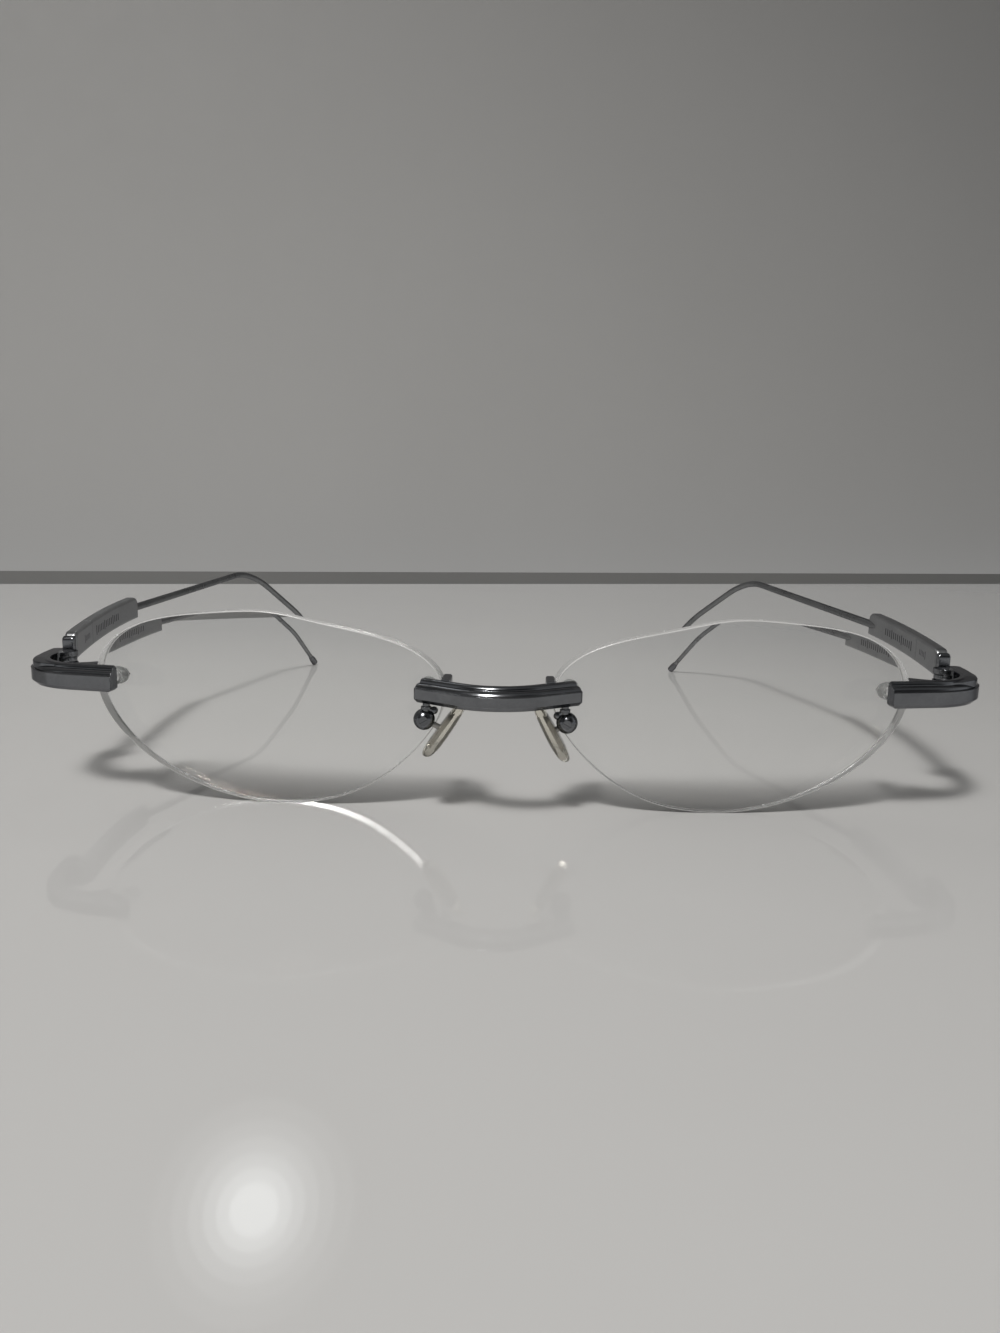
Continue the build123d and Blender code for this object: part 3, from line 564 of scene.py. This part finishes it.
def pad_mesh(side):
    """Soft oval pad: a fuller nose side, rolled edge, thinner towards the top."""
    q = PADS[side]
    a = math.radians(q["lean"])
    down = np.array([math.sin(a), 0, -math.cos(a)])
    out = np.array([math.cos(a), 0, math.sin(a)])          # towards the lens
    across = np.cross(out, down)
    ball = np.array(q["ball"])
    pc = np.array([q["tip"][0], 0, q["tip"][1]]) - down * PAD_L / 2
    pc = np.array([pc[0], ball[1] + PAD_BACK, pc[2]])
    around, rings = 72, 14
    verts, faces = [], []

    def place(u, w, h):
        verts.append(pc + down * u + across * w + out * h)
        return len(verts) - 1

    def outline(th, t):
        u = math.cos(th)
        w = PAD_W / 2 * (1.0 + 0.14 * u)
        return (PAD_L / 2 - 0.03) * u * t, (w - 0.03) * math.sin(th) * t

    def half(t, u):
        full = PAD_T / 2 * (0.90 + 0.10 * u / (PAD_L / 2))
        return full * (1 - t ** 4.2) ** (1 / 2.4)

    sides = []
    for sign in (1, -1):
        loops = []
        for k in range(rings):
            t = math.sin((k + 1) / rings * math.pi / 2) if k < rings - 1 else 1.0
            loop = []
            for i in range(around):
                th = 2 * math.pi * i / around
                u, w = outline(th, t)
                h = half(t, u)
                h *= 0.93 if sign > 0 else 1.55
                loop.append(place(u, w, sign * h) if k < rings - 1 or sign > 0 else None)
            loops.append(loop)
        sides.append((sign, place(0, 0, sign * half(0, 0) * (0.93 if sign > 0 else 1.55)), loops))
    sides[1][2][-1] = sides[0][2][-1]
    for sign, centre, loops in sides:
        fan = [centre] * around
        for i in range(around):
            j = (i + 1) % around
            f = (centre, loops[0][i], loops[0][j])
            faces.append(f if sign > 0 else f[::-1])
            for k in range(rings - 1):
                f = (loops[k][i], loops[k + 1][i], loops[k + 1][j], loops[k][j])
                faces.append(f if sign > 0 else f[::-1])
    v = np.array(verts)
    if side == "left":
        v = v * [-1, 1, 1]
        faces = [f[::-1] for f in faces]
    pa, pb, pk = (v[i] for i in faces[0][:3])
    return v, faces


for side in ("right", "left"):
    v, ff = pad_mesh(side)
    centre = v.mean(0)
    vol = sum(np.dot(v[f[0]] - centre, np.cross(v[f[k]] - centre, v[f[k + 1]] - centre)) for f in ff for k in range(1, len(f) - 1))
    if vol < 0:
        ff = [f[::-1] for f in ff]
    o = make_object("nose_pad_soft_" + side, row(v), ff, materials=(pad_look,))
    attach(o, "rocker_" + side)
    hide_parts("nose_pad_" + side)


# ------------------------------------------------------------------- stage
def sheet_object(name, corners, mat):
    me = bpy.data.meshes.new(name)
    me.from_pydata(corners, [], [(0, 1, 2, 3)])
    me.materials.append(mat)
    o = bpy.data.objects.new(name, me)
    scene.collection.objects.link(o)
    return o


def stage_mat(name, a, b, rough, coat, axis=None, reach=(0.0, 1.0), painted_light_gain=(1.0, 1.0)):
    g = Graph(name)
    p = g.p
    cloud = g.noise(3.2, 5, 0.55)
    tone = g.ramp(cloud, [(0.3, a), (0.7, b)])
    # painted light and shade: the tone is scaled along one axis, so the sheet is painted lighter at one end and darker
    # at the other in place of the fall of light
    if axis:
        t, sep = g.node("ShaderNodeTexCoord"), g.node("ShaderNodeSeparateXYZ")
        g.link(t.outputs["Object"], sep.inputs[0])
        painted_light_falloff = g.spread(sep.outputs[axis], painted_light_gain[0], painted_light_gain[1], reach[0], reach[1])
        scale = g.node("ShaderNodeVectorMath", operation="SCALE")
        g.link(tone, scale.inputs[0])
        g.link(painted_light_falloff, scale.inputs["Scale"])
        tone = scale.outputs["Vector"]
    g.link(tone, p.inputs["Base Color"])
    g.link(g.spread(g.noise(60, 3, 0.6), rough[0], rough[1]), p.inputs["Roughness"])
    p.inputs["Specular IOR Level"].default_value = coat
    return g.mat


# painted light on the floor, lighter towards the wall; painted shade on the wall, darker towards the top
floor_mat = stage_mat("stage_floor", (0.60, 0.595, 0.585), (0.63, 0.625, 0.615), (0.025, 0.045), 0.6, "Y", (-0.12, 0.36), (0.97, 1.34))
wall_mat = stage_mat("stage_wall", (0.46, 0.455, 0.445), (0.48, 0.475, 0.465), (0.6, 0.7), 0.2, "Z", (0.02, 0.44), (1.0, 0.56))
# painted shade: a dark material for the strip that stands in for the shade in the gap between table and wall
gap_painted_shade_mat = stage_mat("stage_gap_painted_shade", (0.20, 0.20, 0.195), (0.22, 0.22, 0.215), (0.6, 0.7), 0.2)
EDGE_Y, WALL_Y, TURN = 0.388, 0.46, 0.2635          # the back edge of the table runs slightly across


def across(y, z, half=3.0):
    return [(-half, y - half * TURN, z), (half, y + half * TURN, z)]


sheet_object("stage_floor", [(-3, -3, 0), (3, -3, 0), *reversed(across(EDGE_Y, 0))], floor_mat)
# the dark strip of painted shade at the back edge of the floor, kept out of glossy reflections
sheet_object("stage_gap_painted_shade", [*across(EDGE_Y + 0.0005, 0), *reversed(across(EDGE_Y + 0.0005, 0.0075))], gap_painted_shade_mat).visible_glossy = False
sheet_object("stage_wall", [*across(WALL_Y, -0.1), *reversed(across(WALL_Y, 2.5))], wall_mat)


def area(name, at, aim, size, power, colour=(1, 1, 1), shape="DISK", size_y=None):
    d = bpy.data.lights.new(name, "AREA")
    d.shape = shape
    d.size = size
    if size_y:
        d.size_y = size_y
    d.energy = power
    d.color = colour
    o = bpy.data.objects.new(name, d)
    scene.collection.objects.link(o)
    o.location = at
    o.rotation_mode = "QUATERNION"
    o.rotation_quaternion = (Vector(aim) - Vector(at)).to_track_quat("-Z", "Y")
    return o


for i, (wide, power) in enumerate(((0.10, 0.9), (0.15, 1.5), (0.20, 1.9), (0.26, 1.7), (0.33, 1.3), (0.42, 1.1), (0.54, 0.9))):
    area("key_%d" % i, (-0.24, -0.56 - 0.0005 * i, 0.96 + 0.001 * i), (0, -0.03, 0), wide, power, (1.0, 0.985, 0.965))
for i, (wide, power) in enumerate(((0.030, 0.0026), (0.046, 0.0052), (0.062, 0.0075), (0.080, 0.0090), (0.100, 0.0095), (0.124, 0.0095))):
    area("lamp_%d" % i, (-0.155, 0.30 + 0.0004 * i, 0.39), (-0.01, -0.14, 0), wide, power, (0.97, 1.0, 1.0))

world = bpy.data.worlds.new("studio")
scene.world = world
world.use_nodes = True
nt = world.node_tree
nt.nodes.clear()
w_out = nt.nodes.new("ShaderNodeOutputWorld")
w_bg = nt.nodes.new("ShaderNodeBackground")
nt.links.new(w_bg.outputs[0], w_out.inputs["Surface"])
w_tc = nt.nodes.new("ShaderNodeTexCoord")
w_sep = nt.nodes.new("ShaderNodeSeparateXYZ")
nt.links.new(w_tc.outputs["Generated"], w_sep.inputs[0])


def w_range(value, a, b, lo, hi, smooth=True):
    n = nt.nodes.new("ShaderNodeMapRange")
    n.interpolation_type = "SMOOTHSTEP" if smooth else "LINEAR"
    nt.links.new(value, n.inputs["Value"])
    n.inputs["From Min"].default_value, n.inputs["From Max"].default_value = a, b
    n.inputs["To Min"].default_value, n.inputs["To Max"].default_value = lo, hi
    return n.outputs["Result"]


def w_math(op, a, b):
    n = nt.nodes.new("ShaderNodeMath")
    n.operation = op
    for i, v in enumerate((a, b)):
        if isinstance(v, (int, float)):
            n.inputs[i].default_value = v
        else:
            nt.links.new(v, n.inputs[i])
    return n.outputs[0]


front = w_range(w_sep.outputs["Y"], -0.05, -0.45, 0.0, 1.0)
rise = w_range(w_sep.outputs["Z"], 0.12, 0.30, 0.0, 1.0)
fall = w_range(w_sep.outputs["Z"], 0.72, 0.90, 1.0, 0.0)
dark = w_math("MULTIPLY", w_math("MULTIPLY", front, rise), fall)
level = w_math("SUBTRACT", w_range(w_sep.outputs["Z"], 0.40, 0.78, 0.46, 0.16), w_math("MULTIPLY", dark, 0.12))
level = w_math("MULTIPLY", level, w_math("SUBTRACT", 1.0, w_math("MULTIPLY", dark, 0.85)))
nt.links.new(level, w_bg.inputs["Strength"])
w_bg.inputs["Color"].default_value = (0.97, 0.985, 1.0, 1)

scene.view_settings.view_transform = "Standard"
scene.view_settings.look = "None"
scene.view_settings.exposure = 0.0

bpy.context.view_layer.update()
